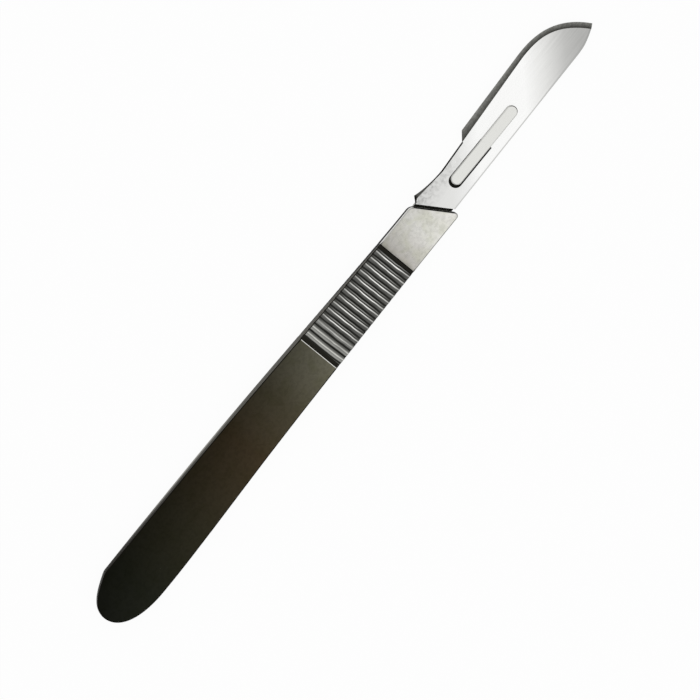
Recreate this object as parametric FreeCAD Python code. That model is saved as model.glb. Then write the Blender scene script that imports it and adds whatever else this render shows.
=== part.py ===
import FreeCAD, Part
import math
import os

os.makedirs("parts", exist_ok=True)

# A surgical scalpel handle of the large fitting, with a curved blade clipped on it. Millimetres.
# +X runs along the handle to the blade's tip, +Y to the cutting edge's side, and +Z up, out of
# the face that the blade lies on. The origin is the centre of the flat stretch of the underside
# that the handle lies on. Stations along the handle are counted from the tip of its tail.

# Lengths along the handle
tail_length = 70.25         # tail's tip to the first groove of the grip
flat_start = 20.0           # the faces are flat and parallel from here
flat_length = 52.0          # length of that flat stretch, which ends under the first ribs
front_length = 12.8         # last groove of the grip to the shoulder, on the centre line
taper_start = 42.0          # the sides run nearly parallel up to here

# Widths from the centre line, on the cutting edge's side and on the spine's side
tail_edge_side = 5.8
tail_spine_side = 6.4
taper_edge_side = 5.78
taper_spine_side = 5.55
grip_edge_side = 5.2
grip_spine_side = 4.86
neck_edge_side = 4.6
neck_spine_side = 4.6

# Round tail: where its flanks end, its nose, and how full its two curves are
tail_edge_flank = 7.5
tail_spine_flank = 12.0
tail_nose_offset = -0.3
tail_nose_fullness = 3.05
tail_edge_fullness = 4.2
tail_edge_slope = 20.0
tail_corner_radius = 3.0
tail_spine_fullness = 8.9

# Thickness
belly_thickness = 3.2
tail_tip_thickness = 1.8
neck_thickness = 2.1
waist_overrun = 4.0         # the curve from belly to neck ends this far past the shoulder
edge_radius = 0.3
touching = 0.001            # nearer than this, two shapes touch

# Grip: half-round ribs with a narrow V groove between them, on both faces
rib_count = 14
rib_pitch = 1.70
rib_width = 1.36
rib_rise = 0.2
groove_depth = 0.42
grip_lead_in = 1.12
grip_run_out = 0.83
grip_end_slope = 0.12

# Shoulder that the blade's heel faces
shoulder_angle = 58.5
edge_corner_radius = 1.6
spine_corner_radius = 0.75
heel_gap = 0.64

# Blade fitting: a thin tongue with an undercut stud on it
seat_offset = 0.22          # the seat lies this far above the handle's middle plane
tongue_thickness = 0.95
tongue_reach = 28.4         # the tongue's front end, counted from the shoulder
tongue_root_width = 5.6
tongue_end_width = 3.6
tongue_overlap = 5.0        # length of the tongue inside the handle
ledge_reach = 1.3           # the tongue's wide root reaches this far under the blade's heel
ledge_edge_side = 4.1
ledge_spine_side = 2.9
stud_offset = 0.74          # the stud's axis, towards the cutting edge
stud_start = 6.43           # the stud's rear end, counted from the shoulder
stud_length = 20.4
stud_width = 2.56
stud_neck_width = 1.45
stud_chamfer = 0.2
undercut_clearance = 0.05   # between the blade and the head that holds it down

# Blade
blade_thickness = 0.4
edge_thickness = 0.04
slot_entry_length = 10.78   # front end of the slot's wide half, counted from the stud's rear
slot_rear_gap = 0.7
slot_spine_gap = 0.36
slot_edge_gap = 0.09
slot_neck_gap = 0.08
heel_edge_reach = 4.05      # reaches are counted from the handle's centre line
heel_peak_rise = 1.31       # the heel's corner stands out past the handle
heel_peak_run = 1.14
heel_peak_angle = -19.0
heel_curve_fullness = 2.3
waist_station = 7.0         # stations of the blade are counted from the shoulder
waist_reach = 4.21
notch_station = 14.25
notch_reach = 4.7
notch_depth = 1.62
notch_run = 1.75
belly_station = 35.1        # the straight part of the cutting edge ends here
belly_reach = 7.17
belly_bevel = 1.08
belly_fullness = 6.2
tip_station = 50.26
tip_reach = -0.77
tip_angle = 120.0
tip_fullness = 7.6
tip_bevel_run = 1.05
tip_bevel_drop = 0.56
bevel_belly_fullness = 6.0
bevel_tip_angle = 121.0
bevel_tip_fullness = 7.5
spine_reach = -3.13
spine_end_station = 43.04
spine_end_reach = -2.62
spine_end_fullness = 2.6
spine_tip_angle = 200.0
spine_tip_fullness = 2.9
back_facet_slope = 0.25     # drop per millimetre of the facet along the back of the heel
heel_facet_width = 0.75     # width of that facet at the heel's corner, and from the waist on
waist_facet_width = 0.25

# Sizes that follow from the ones above
grip_length = grip_lead_in + (rib_count - 1) * rib_pitch + rib_width + grip_run_out
shoulder_station = tail_length + grip_length + front_length
flat_end = flat_start + flat_length
waist_end = shoulder_station + waist_overrun
origin_station = flat_start + flat_length / 2
middle_z = belly_thickness / 2
seat_z = middle_z + seat_offset
blade_top_z = seat_z + blade_thickness
stud_top_z = middle_z + neck_thickness / 2
shoulder_slope = math.tan(math.radians(90 - shoulder_angle))
heel_shift = heel_gap / math.sin(math.radians(shoulder_angle))


def at(station, y, z=0.0):
    """A point by its station along the handle, its distance from the centre line and its height."""
    return FreeCAD.Vector(station - origin_station, y, z)


def on_blade(station, y, z=0.0):
    """A point by its station past the shoulder."""
    return at(shoulder_station + station, y, z)


def shoulder_point(y, shift=0.0):
    """The point of the slanted shoulder line, or of one parallel to it, at distance y."""
    return on_blade(shift - y * shoulder_slope, y)


def heading(angle, length):
    """A step of the given length in the plane of the handle, at an angle from +X in degrees."""
    turn = math.radians(angle)
    return FreeCAD.Vector(math.cos(turn), math.sin(turn), 0) * length


def along(start, end, length):
    """A step of the given length in the direction from start to end."""
    return (end - start).normalize() * length


def bezier(*poles):
    curve = Part.BezierCurve()
    curve.setPoles(list(poles))
    return curve.toShape()


def spline(start_direction, points, end_direction):
    """A smooth curve through the points, with its directions at the first and the last given."""
    curve = Part.BSplineCurve()
    curve.interpolate(Points=points, InitialTangent=start_direction, FinalTangent=end_direction)
    return curve.toShape()


def line(start, end):
    return Part.LineSegment(start, end).toShape()


def arc(start, middle, end):
    return Part.Arc(start, middle, end).toShape()


def slab(edges, bottom, top):
    """A plate between two heights, from the closed outline of its edges."""
    face = Part.Face(Part.Wire(Part.__sortEdges__(edges)))
    face.translate(FreeCAD.Vector(0, 0, bottom))
    return face.extrude(FreeCAD.Vector(0, 0, top - bottom))


def stadium(start, length, width, bottom, top):
    """A bar with round ends along the stud's axis, start counted from the shoulder."""
    radius = width / 2
    rear = start + radius
    front = start + length - radius
    low = stud_offset - radius
    high = stud_offset + radius
    edges = [
        line(on_blade(rear, low), on_blade(front, low)),
        arc(on_blade(front, low), on_blade(front + radius, stud_offset), on_blade(front, high)),
        line(on_blade(front, high), on_blade(rear, high)),
        arc(on_blade(rear, high), on_blade(rear - radius, stud_offset), on_blade(rear, low)),
    ]
    return slab(edges, bottom, top)


def rounded_corner(into, corner, out, radius):
    """The start, middle and end of the arc that rounds a corner, from the directions into and out of it."""
    turn = into.getAngle(out)
    setback = radius * math.tan(turn / 2)
    start = corner - into * setback
    end = corner + out * setback
    inward = (out - into).normalize()
    middle = corner + inward * (radius / math.cos(turn / 2) - radius)
    return start, middle, end


def handle_outline():
    """The handle's outline seen from above, as a list of edges that run on into each other."""
    nose = at(0, tail_nose_offset)
    nose_pull = heading(90, tail_nose_fullness)
    spine_flank = at(tail_spine_flank, -tail_spine_side)
    grip_end = tail_length + grip_length
    edge_grip = at(tail_length, grip_edge_side)
    spine_grip = at(tail_length, -grip_spine_side)

    tail_corner = at(tail_edge_flank, tail_edge_side)
    edge_corner = shoulder_point(neck_edge_side)
    spine_corner = shoulder_point(-neck_spine_side)
    flank_way = heading(tail_edge_slope, 1)
    ahead = heading(0, 1)
    edge_way = along(at(grip_end, neck_edge_side), edge_corner, 1)
    shoulder_way = along(edge_corner, spine_corner, 1)

    tail_arc = rounded_corner(flank_way, tail_corner, ahead, tail_corner_radius)
    edge_arc = rounded_corner(edge_way, edge_corner, shoulder_way, edge_corner_radius)
    spine_arc = rounded_corner(shoulder_way, spine_corner, -ahead, spine_corner_radius)
    return [
        bezier(nose, nose + nose_pull, tail_arc[0] - flank_way * tail_edge_fullness, tail_arc[0]),
        arc(*tail_arc),
        spline(ahead, [tail_arc[2], at(taper_start, taper_edge_side), edge_grip, edge_arc[0]], edge_way),
        arc(*edge_arc),
        line(edge_arc[2], spine_arc[0]),
        arc(*spine_arc),
        spline(-ahead, [spine_arc[2], spine_grip, at(taper_start, -taper_spine_side), spine_flank], -ahead),
        bezier(spine_flank, spine_flank - ahead * tail_spine_fullness, nose - nose_pull, nose),
    ]


def waist_thickness(station):
    """The handle's thickness past its flat stretch: an S-curve from the belly down to the neck."""
    share = max(0, station - flat_end) / (waist_end - flat_end)
    fall = share * share * (3 - 2 * share)
    return belly_thickness + (neck_thickness - belly_thickness) * fall


def face_point(side, station, thickness, depth=0.0):
    """A point at a depth under the upper face, side +1, or the lower one, side -1."""
    return at(station, 0, middle_z + side * (thickness / 2 - depth))


def side_profile():
    """The handle's section along its length: a thin tail, a flat belly and a waist towards the neck."""
    edges = []
    for side in (1, -1):
        tip = face_point(side, 0, tail_tip_thickness)
        flat_from = face_point(side, flat_start, belly_thickness)
        flat_to = face_point(side, flat_end, belly_thickness)
        neck = face_point(side, waist_end, neck_thickness)
        third = heading(0, (waist_end - flat_end) / 3)
        level = FreeCAD.Vector(0, 0, (flat_from - tip).z / 2)
        edges += [bezier(tip, (tip + flat_from) / 2 + level, flat_from),
                  line(flat_from, flat_to),
                  bezier(flat_to, flat_to + third, neck - third, neck)]
    for station, thickness in ((0, tail_tip_thickness), (waist_end, neck_thickness)):
        edges.append(line(face_point(-1, station, thickness), face_point(1, station, thickness)))
    return Part.Face(Part.Wire(Part.__sortEdges__(edges)))


def handle_blank():
    """The handle without its ribs: its outline cut to its side profile, with rounded edges."""
    reach = 2 * max(tail_edge_side, tail_spine_side)
    profile = side_profile()
    profile.translate(FreeCAD.Vector(0, -reach, 0))
    sides = profile.extrude(FreeCAD.Vector(0, 2 * reach, 0))
    plate = slab(handle_outline(), 0, belly_thickness)
    blank = plate.common(sides)
    walls = [face for face in plate.Faces if face.BoundBox.ZLength > touching]
    rims = [edge for edge in blank.Edges if not is_upright(edge) and lies_on_rim(edge, walls)]
    return blank.makeFillet(edge_radius, rims)


def is_upright(edge):
    ends = edge.BoundBox
    return ends.ZLength > ends.XLength + ends.YLength


def lies_on_rim(edge, walls):
    """True for the edges between a face and the side wall, not for lines across a face."""
    middle = edge.valueAt((edge.FirstParameter + edge.LastParameter) / 2)
    return min(wall.distToShape(Part.Vertex(middle))[0] for wall in walls) < touching


def grip_cutter(side):
    """What the grooves take from one face, side +1 above and -1 below, across the whole width."""
    end = tail_length + grip_length

    def up(station, depth):
        return face_point(side, station, waist_thickness(station), depth)

    rib_foot = (groove_depth + rib_rise) / 2
    outside = [up(tail_length, -belly_thickness), up(end, -belly_thickness)]
    here = up(tail_length + grip_end_slope, groove_depth)
    rear_wall = up(tail_length, 0)
    edges = [line(outside[1], outside[0]), line(outside[0], rear_wall), line(rear_wall, here)]
    for index in range(rib_count):
        crest = tail_length + grip_lead_in + rib_width / 2 + index * rib_pitch
        foot_in = up(crest - rib_width / 2, rib_foot)
        foot_out = up(crest + rib_width / 2, rib_foot)
        groove = up(crest + rib_pitch / 2, groove_depth)
        ridge = arc(foot_in, up(crest, rib_foot - rib_rise), foot_out)
        edges += [line(here, foot_in), ridge, line(foot_out, groove)]
        here = groove
    floor_end = up(end - grip_end_slope, groove_depth)
    edges += [line(here, floor_end), line(floor_end, up(end, 0)), line(up(end, 0), outside[1])]
    face = Part.Face(Part.Wire(Part.__sortEdges__(edges)))
    reach = 2 * max(grip_edge_side, grip_spine_side)
    face.translate(FreeCAD.Vector(0, -reach, 0))
    return face.extrude(FreeCAD.Vector(0, 2 * reach, 0))


def tongue():
    """The thin plate under the blade, which narrows to a round end."""
    root = tongue_root_width / 2
    tip = tongue_end_width / 2
    front = tongue_reach - tip
    edges = [
        line(on_blade(-tongue_overlap, stud_offset - root), on_blade(-tongue_overlap, stud_offset + root)),
        line(on_blade(-tongue_overlap, stud_offset + root), on_blade(front, stud_offset + tip)),
        arc(on_blade(front, stud_offset + tip), on_blade(tongue_reach, stud_offset),
            on_blade(front, stud_offset - tip)),
        line(on_blade(front, stud_offset - tip), on_blade(-tongue_overlap, stud_offset - root)),
    ]
    return slab(edges, seat_z - tongue_thickness, seat_z)


def ledge():
    """The tongue's wide root, which closes the gap between the shoulder and the blade's heel."""
    corners = [shoulder_point(y, shift) for y, shift in (
        (-ledge_spine_side, -tongue_overlap), (-ledge_spine_side, ledge_reach),
        (ledge_edge_side, ledge_reach), (ledge_edge_side, -tongue_overlap))]
    edges = [line(corner, corners[index - 1]) for index, corner in enumerate(corners)]
    return slab(edges, seat_z - tongue_thickness, seat_z)


def stud():
    """The stud: full width in the slot's wide half, and a neck under a head in its narrow half."""
    head_z = blade_top_z + undercut_clearance
    head = stadium(stud_start, stud_length, stud_width, head_z, stud_top_z)
    top_rim = [edge for edge in head.Edges if edge.BoundBox.ZMin > head_z + touching]
    head = head.makeChamfer(stud_chamfer, top_rim)
    neck_inset = (stud_width - stud_neck_width) / 2
    neck = stadium(stud_start + neck_inset, stud_length - 2 * neck_inset, stud_neck_width, seat_z, head_z)
    rear_length = slot_entry_length - undercut_clearance
    whole = stadium(stud_start, stud_length, stud_width, seat_z, head_z)
    keep = Part.makeBox(rear_length, stud_width, head_z - seat_z,
                        on_blade(stud_start, stud_offset - stud_width / 2, seat_z))
    return head.fuse([neck, whole.common(keep)]).removeSplitter()


def handle():
    blank = handle_blank()
    ribbed = blank.cut([grip_cutter(1), grip_cutter(-1)])
    return ribbed.fuse([tongue(), ledge(), stud()]).removeSplitter()


def blade_slot():
    """The keyhole slot: its wide half drops over the stud, its narrow half slides under the head."""
    low = stud_offset - stud_width / 2 - slot_spine_gap
    high = stud_offset + stud_width / 2 + slot_edge_gap
    middle = (low + high) / 2
    radius = (high - low) / 2
    rear = stud_start - slot_rear_gap
    end = stud_start + slot_entry_length
    wide = slab([
        line(on_blade(rear + radius, low), on_blade(end, low)),
        line(on_blade(end, low), on_blade(end, high)),
        line(on_blade(end, high), on_blade(rear + radius, high)),
        arc(on_blade(rear + radius, high), on_blade(rear, middle), on_blade(rear + radius, low)),
    ], seat_z, blade_top_z)
    neck_inset = (stud_width - stud_neck_width) / 2 - slot_neck_gap
    narrow = stadium(stud_start + neck_inset, stud_length - 2 * neck_inset,
                     stud_neck_width + 2 * slot_neck_gap, seat_z, blade_top_z)
    return wide.fuse(narrow)


def bevel_curves(z_inner, z_outer):
    """The bevel's inner line and the cutting edge, each as a straight and a curved edge."""
    notch_foot = on_blade(notch_station, notch_reach, z_inner)
    inner_belly = on_blade(belly_station, belly_reach - belly_bevel, z_inner)
    inner_tip = on_blade(tip_station - tip_bevel_run, tip_reach - tip_bevel_drop, z_inner)
    edge_start = on_blade(notch_station + notch_run, notch_reach + notch_depth, z_outer)
    edge_belly = on_blade(belly_station, belly_reach, z_outer)
    edge_tip = on_blade(tip_station, tip_reach, z_outer)
    inner = [line(notch_foot, inner_belly),
             bezier(inner_belly, inner_belly + along(edge_start, edge_belly, bevel_belly_fullness),
                    inner_tip + heading(bevel_tip_angle, bevel_tip_fullness), inner_tip)]
    outer = [line(edge_start, edge_belly),
             bezier(edge_belly, edge_belly + along(edge_start, edge_belly, belly_fullness),
                    edge_tip + heading(tip_angle, tip_fullness), edge_tip)]
    return inner, outer


def bevel_strip():
    """The ground strip along the cutting edge: a wedge from the full thickness to the sharp edge."""
    middle = (seat_z + blade_top_z) / 2
    half_edge = edge_thickness / 2
    inner_top, outer_top = bevel_curves(blade_top_z, middle + half_edge)
    inner_low, outer_low = bevel_curves(seat_z, middle - half_edge)
    strips = []
    for index in range(len(inner_top)):
        loop = [inner_top[index], outer_top[index], outer_low[index], inner_low[index]]
        faces = [Part.makeRuledSurface(loop[side], loop[(side + 1) % 4]) for side in range(4)]
        for end in (0, -1):
            corners = [edge.Vertexes[end].Point for edge in loop]
            faces.append(Part.Face(Part.makePolygon(corners + corners[:1])))
        strips.append(Part.Solid(Part.Shell(faces)))
    return strips


def back_facet():
    """What the facet along the back takes off the upper face, from the heel's corner to the notch."""
    heel = shoulder_point(heel_edge_reach, heel_shift)
    peak = heel + FreeCAD.Vector(heel_peak_run, heel_peak_rise, 0)
    width = heel_peak_rise + heel_facet_width
    inner_line = [
        heel,
        peak - FreeCAD.Vector(0, heel_facet_width, 0),
        on_blade(waist_station, waist_reach - waist_facet_width),
        on_blade(notch_station - waist_facet_width, notch_reach - waist_facet_width),
    ]
    sections = []
    for point in inner_line:
        inner = FreeCAD.Vector(point.x, point.y, blade_top_z)
        outer = inner + FreeCAD.Vector(0, width, 0)
        low = outer - FreeCAD.Vector(0, 0, width * back_facet_slope)
        sections.append([inner, outer, low])
    return [wedge(rear, front) for rear, front in zip(sections, sections[1:])]


def wedge(rear, front):
    """A solid between two parallel triangles, given by their corners."""
    outlines = [rear, front]
    for side in range(3):
        turn = (side + 1) % 3
        outlines.append([rear[side], rear[turn], front[turn], front[side]])
    return Part.Solid(Part.Shell([Part.Face(Part.makePolygon(loop + loop[:1])) for loop in outlines]))


def blade():
    inner, _ = bevel_curves(0, 0)
    heel_edge = shoulder_point(heel_edge_reach, heel_shift)
    heel_spine = shoulder_point(spine_reach, heel_shift)
    peak = heel_edge + FreeCAD.Vector(heel_peak_run, heel_peak_rise, 0)
    waist = on_blade(waist_station, waist_reach)
    notch_foot = on_blade(notch_station, notch_reach)
    spine_end = on_blade(spine_end_station, spine_end_reach)
    inner_tip = on_blade(tip_station - tip_bevel_run, tip_reach - tip_bevel_drop)
    back = [
        line(heel_spine, heel_edge),
        line(heel_edge, peak),
        bezier(peak, peak + heading(heel_peak_angle, heel_curve_fullness),
               waist - heading(0, heel_curve_fullness), waist),
        line(waist, notch_foot),
        bezier(inner_tip, inner_tip + heading(spine_tip_angle, spine_tip_fullness),
               spine_end + along(heel_spine, spine_end, spine_end_fullness), spine_end),
        line(spine_end, heel_spine),
    ]
    plate = slab(inner + back, seat_z, blade_top_z)
    return plate.fuse(bevel_strip()).cut([blade_slot()] + back_facet()).removeSplitter()


for name, make in (("handle", handle), ("blade", blade)):
    piece = make()
    print(name, "solids", len(piece.Solids), "valid", piece.isValid(), "mm3", round(piece.Volume, 2))
    piece.exportStep(f"parts/{name}.step")
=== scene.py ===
# %% [markdown]
# # A scalpel handle with its blade, dressed for a studio picture
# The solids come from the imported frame, in metres: +X runs from the round tail to the blade's
# tip, +Y points to the cutting edge's side and +Z up, out of the face that carries the blade.
# This lesson keeps their shape, makes the ribbed grip again as a rule with Geometry Nodes, and
# gives the steel its finishes. Each step says first what the real thing is like.

# %% Load the frame
import math

import bmesh
import bpy
from mathutils import Matrix, Vector


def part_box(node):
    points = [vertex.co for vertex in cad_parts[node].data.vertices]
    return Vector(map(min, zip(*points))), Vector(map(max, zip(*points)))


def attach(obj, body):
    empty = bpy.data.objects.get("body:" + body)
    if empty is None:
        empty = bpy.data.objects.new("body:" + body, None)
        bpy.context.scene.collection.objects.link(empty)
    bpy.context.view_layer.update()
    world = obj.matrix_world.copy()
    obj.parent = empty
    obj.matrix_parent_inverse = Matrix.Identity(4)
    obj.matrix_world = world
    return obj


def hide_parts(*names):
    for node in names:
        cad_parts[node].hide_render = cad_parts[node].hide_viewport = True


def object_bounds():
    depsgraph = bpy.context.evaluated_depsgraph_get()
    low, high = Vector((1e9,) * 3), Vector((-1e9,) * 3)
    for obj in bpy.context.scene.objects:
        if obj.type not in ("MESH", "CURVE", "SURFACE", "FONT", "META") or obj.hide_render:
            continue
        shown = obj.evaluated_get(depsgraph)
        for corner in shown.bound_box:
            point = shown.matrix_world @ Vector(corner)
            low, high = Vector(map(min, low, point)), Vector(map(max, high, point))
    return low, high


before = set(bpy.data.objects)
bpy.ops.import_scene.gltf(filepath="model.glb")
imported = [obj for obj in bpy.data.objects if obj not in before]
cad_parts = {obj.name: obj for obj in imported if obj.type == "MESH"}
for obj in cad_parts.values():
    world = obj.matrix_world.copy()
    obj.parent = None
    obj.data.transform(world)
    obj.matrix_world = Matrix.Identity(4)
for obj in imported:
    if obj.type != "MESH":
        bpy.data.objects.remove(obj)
cad_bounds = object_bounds()
handle_low, handle_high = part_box("handle")
blade_low, blade_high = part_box("blade")
middle_height = (handle_low.z + handle_high.z) / 2
MM = 0.001
print("handle", [round(v / MM, 2) for v in (*handle_low, *handle_high)], "mm")
print("blade", [round(v / MM, 2) for v in (*blade_low, *blade_high)], "mm")

# %% [markdown]
# ## Small helpers for colours and nodes
# A colour is easiest to name as it looks on a screen, from 0 to 255, while a material works with
# light. One helper turns the first into the second. The others put a node in a tree and join it
# up in one line, so that a finish reads as a short recipe.

# %% Helpers
def light_share(value):
    """How much light a screen value from 0 to 255 stands for, from 0 to 1."""
    share = value / 255
    return share / 12.92 if share <= 0.04045 else ((share + 0.055) / 1.055) ** 2.4


def tone(red, green, blue):
    """A screen colour as the linear colour that a material takes."""
    return light_share(red), light_share(green), light_share(blue), 1


def put(tree, kind, inputs=(), **settings):
    """A new node in the tree. inputs names its sockets, each with a value or a socket to join."""
    node = tree.nodes.new(kind)
    for name, value in settings.items():
        setattr(node, name, value)
    for name, value in dict(inputs).items():
        if isinstance(value, bpy.types.NodeSocket):
            tree.links.new(value, node.inputs[name])
        else:
            node.inputs[name].default_value = value
    return node


def maths(tree, operation, first, second=0.0, clamp=False):
    """The result of one sum on one or two numbers, each a value or a socket."""
    node = put(tree, "ShaderNodeMath", {0: first, 1: second}, operation=operation, use_clamp=clamp)
    return node.outputs[0]


def spread(tree, value, low, high, to_low=0.0, to_high=1.0):
    """A value stretched from one range to another, and held inside it."""
    return put(tree, "ShaderNodeMapRange", {"Value": value, "From Min": low, "From Max": high,
                                            "To Min": to_low, "To Max": to_high}).outputs["Result"]


def blend(tree, share, first, second):
    """Two colours mixed by a mask."""
    node = put(tree, "ShaderNodeMix", data_type="RGBA")
    for socket, value in ((node.inputs["Factor"], share), (node.inputs[6], first), (node.inputs[7], second)):
        if isinstance(value, bpy.types.NodeSocket):
            tree.links.new(value, socket)
        else:
            socket.default_value = value
    return node.outputs[2]


def ramp(tree, share, stops):
    """A run of colours or greys, each at its own place from 0 to 1."""
    node = put(tree, "ShaderNodeValToRGB", {"Fac": share})
    marks = node.color_ramp.elements
    while len(marks) < len(stops):
        marks.new(1.0)
    for mark, (place, colour) in zip(marks, stops):
        mark.position = place
        mark.color = colour
    return node.outputs["Color"]


def along(tree, place, start, end, stops):
    """A run of colours along a line of the object, its stops in millimetres from its start."""
    length = (end - start) / MM
    return ramp(tree, spread(tree, place, start, end), [(at / length, colour) for at, colour in stops])


# %% [markdown]
# ## Floor, light and room
# The instrument lies on a plain white sheet, and the picture's background is white. The floor is
# wide and matt. To a camera, or to steel that mirrors it, it mostly shows its own white, and the
# rest of it still takes the soft shadow. One large soft lamp hangs over the object, on the side
# where the flat steel mirrors it to the camera, and the room adds an even pale light.

# %% Floor and light
FLOOR_SIZE = 3.0
FLOOR_WHITE = tone(246, 246, 246)
FLOOR_OWN_SHARE = 0.95
WHITE = (1, 1, 1, 1)


def make_floor():
    half = FLOOR_SIZE / 2
    corners = [(-half, -half, 0), (half, -half, 0), (half, half, 0), (-half, half, 0)]
    mesh = bpy.data.meshes.new("floor")
    mesh.from_pydata(corners, [], [(0, 1, 2, 3)])
    floor = bpy.data.objects.new("floor", mesh)
    bpy.context.scene.collection.objects.link(floor)
    material = bpy.data.materials.new("white_sheet")
    material.use_nodes = True
    tree = material.node_tree
    tree.nodes.clear()
    path = put(tree, "ShaderNodeLightPath")
    seen = maths(tree, "MAXIMUM", path.outputs["Is Camera Ray"], path.outputs["Is Glossy Ray"])
    seen = maths(tree, "MAXIMUM", seen, path.outputs["Is Transmission Ray"])
    matt = put(tree, "ShaderNodeBsdfDiffuse", {"Color": FLOOR_WHITE})
    glow = put(tree, "ShaderNodeEmission", {"Color": WHITE, "Strength": 1.0})
    own_share = maths(tree, "MULTIPLY", seen, FLOOR_OWN_SHARE)
    mixed = put(tree, "ShaderNodeMixShader", {0: own_share, 1: matt.outputs[0], 2: glow.outputs[0]})
    put(tree, "ShaderNodeOutputMaterial", {"Surface": mixed.outputs[0]})
    mesh.materials.append(material)


ROOM_LIGHT = 0.7
CAMERA_TILT = math.radians(14)
LAMP_DISTANCE = 0.6
LAMP_SIZE = 0.55
LAMP_POWER = 0.33


def make_room():
    world = bpy.data.worlds.new("pale_room")
    bpy.context.scene.world = world
    world.use_nodes = True
    background = world.node_tree.nodes["Background"]
    background.inputs["Color"].default_value = WHITE
    background.inputs["Strength"].default_value = ROOM_LIGHT


def make_lamp(aim):
    lamp = bpy.data.lights.new("soft_lamp", "AREA")
    lamp.shape = "SQUARE"
    lamp.size = LAMP_SIZE
    lamp.energy = LAMP_POWER
    holder = bpy.data.objects.new("soft_lamp", lamp)
    bpy.context.scene.collection.objects.link(holder)
    away = Vector((0, -math.sin(CAMERA_TILT), math.cos(CAMERA_TILT)))
    holder.location = aim + away * LAMP_DISTANCE
    holder.rotation_mode = "QUATERNION"
    holder.rotation_quaternion = away.to_track_quat("Z", "Y")


middle = (cad_bounds[0] + cad_bounds[1]) / 2
make_floor()
make_room()
make_lamp(middle)
bpy.context.scene.view_settings.view_transform = "Standard"
print("lamp over", [round(v / MM) for v in middle], "mm")

# %% [markdown]
# ## Camera
# The picture looks down on the instrument, tilted a little to the side of the cutting edge, so
# that a thin strip of that side's wall shows. The handle's line climbs from the lower left to the
# upper right. A camera could be moved by hand until the picture fits, but it is better worked
# out: the pixel of the tail's tip, the slope of that line and the number of pixels to a millimetre
# give the point that the camera aims at, and the line's offset moves it towards the spine.

# %% Camera
PICTURE_SIZE = 700
TAIL_PIXEL = Vector((105, 618))
LINE_ANGLE = math.radians(50.8)
PIXELS_PER_MM = 4.84
LINE_OFFSET = 0.9 * MM
LENS = 200.0
SENSOR_WIDTH = 36.0


def make_camera():
    right_share, up_share = math.cos(LINE_ANGLE), math.sin(LINE_ANGLE)
    towards = Vector((0, math.sin(CAMERA_TILT), math.cos(CAMERA_TILT)))
    side = Vector((0, math.cos(CAMERA_TILT), -math.sin(CAMERA_TILT)))
    ahead = Vector((1, 0, 0))
    right = ahead * right_share - side * up_share
    up = ahead * up_share + side * right_share
    span = PICTURE_SIZE / PIXELS_PER_MM * MM
    shift = Vector((PICTURE_SIZE / 2, PICTURE_SIZE / 2)) - TAIL_PIXEL
    run = shift.x * right_share - shift.y * up_share
    drop = shift.x * up_share + shift.y * right_share
    aim_side = -drop / PIXELS_PER_MM * MM
    aim_y = (aim_side + middle_height * math.sin(CAMERA_TILT)) / math.cos(CAMERA_TILT) - LINE_OFFSET
    aim = Vector((handle_low.x + run / PIXELS_PER_MM * MM, aim_y, middle_height))
    camera = bpy.data.cameras.new("camera")
    camera.lens = LENS
    camera.sensor_width = SENSOR_WIDTH
    holder = bpy.data.objects.new("camera", camera)
    bpy.context.scene.collection.objects.link(holder)
    distance = span * LENS / SENSOR_WIDTH
    turn = Matrix((right, up, towards)).transposed().to_4x4()
    holder.matrix_world = Matrix.Translation(aim + towards * distance) @ turn
    bpy.context.scene.camera = holder
    print("camera aims at", [round(v / MM, 2) for v in aim], "mm from", round(distance / MM), "mm")


make_camera()

# %% [markdown]
# ## The ribbed grip as a rule
# On the real handle the grip is milled: one form cutter leaves the same round rib again and again,
# on both faces, and the steep wall at each end is where the cutter goes in and out. What repeats
# is best made by a rule, so the grip is a block from Geometry Nodes whose points all follow one
# formula: how far along, how far across, and how deep under the face. The sizes are its inputs.

# %% Where the grip is, and what the handle measures there
# Where the ribs run
GRIP_START = 24.13 * MM
GRIP_LENGTH = 25.65 * MM
RIB_COUNT = 14
RIB_PITCH = 1.70 * MM
FIRST_CREST = 26.05 * MM

# What the cutter left
CREST_DEPTH = 0.11 * MM
GROOVE_DEPTH = 0.42 * MM
REAR_LIP = 0.12 * MM
LIP_LENGTH = 0.26 * MM
FRONT_LIP = 0.18 * MM
RIM_RADIUS = 0.3 * MM
RIB_LEAN = 0.16 * MM

# How the handle grows thinner towards the fitting
WAIST_START = 26.0 * MM
WAIST_END = 66.46 * MM
WAIST_THICKNESS = 2.1 * MM

# How fine the block is
STEPS_PER_RIB = 16
END_STEPS = 16
ROWS_ACROSS = 33

# How near two points count as one
MERGE_GAP = 0.001 * MM


def merged_copy(node):
    """The node's mesh as a bmesh whose loose triangles share their points again."""
    copy = bmesh.new()
    copy.from_mesh(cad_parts[node].data)
    bmesh.ops.remove_doubles(copy, verts=copy.verts, dist=MERGE_GAP)
    return copy


def half_widths(x):
    """How far the handle reaches to the edge's and to the spine's side at one section."""
    section = merged_copy("handle")
    parts = section.verts[:] + section.edges[:] + section.faces[:]
    cut = bmesh.ops.bisect_plane(section, geom=parts, plane_co=(x, 0, 0), plane_no=(1, 0, 0))
    across = [part.co.y for part in cut["geom_cut"] if isinstance(part, bmesh.types.BMVert)]
    section.free()
    return max(across), -min(across)


grip_end = GRIP_START + GRIP_LENGTH
ribs_start = FIRST_CREST - RIB_PITCH / 2
sections = {"Rear": GRIP_START, "Middle": GRIP_START + GRIP_LENGTH / 2, "Front": grip_end}
width_marks = {name: half_widths(x) for name, x in sections.items()}
for name, pair in width_marks.items():
    print("grip half widths,", name.lower(), [round(width / MM, 3) for width in pair], "mm")

# %% [markdown]
# ## Inputs of the rule
# A milling machine is set by a few numbers: where it starts, how far the ribs are apart and how
# deep it goes. The rule is set in the same way. Its numbers could stand inside the tree, but as
# inputs they have names and can be changed in the modifier without opening the tree.

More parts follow.
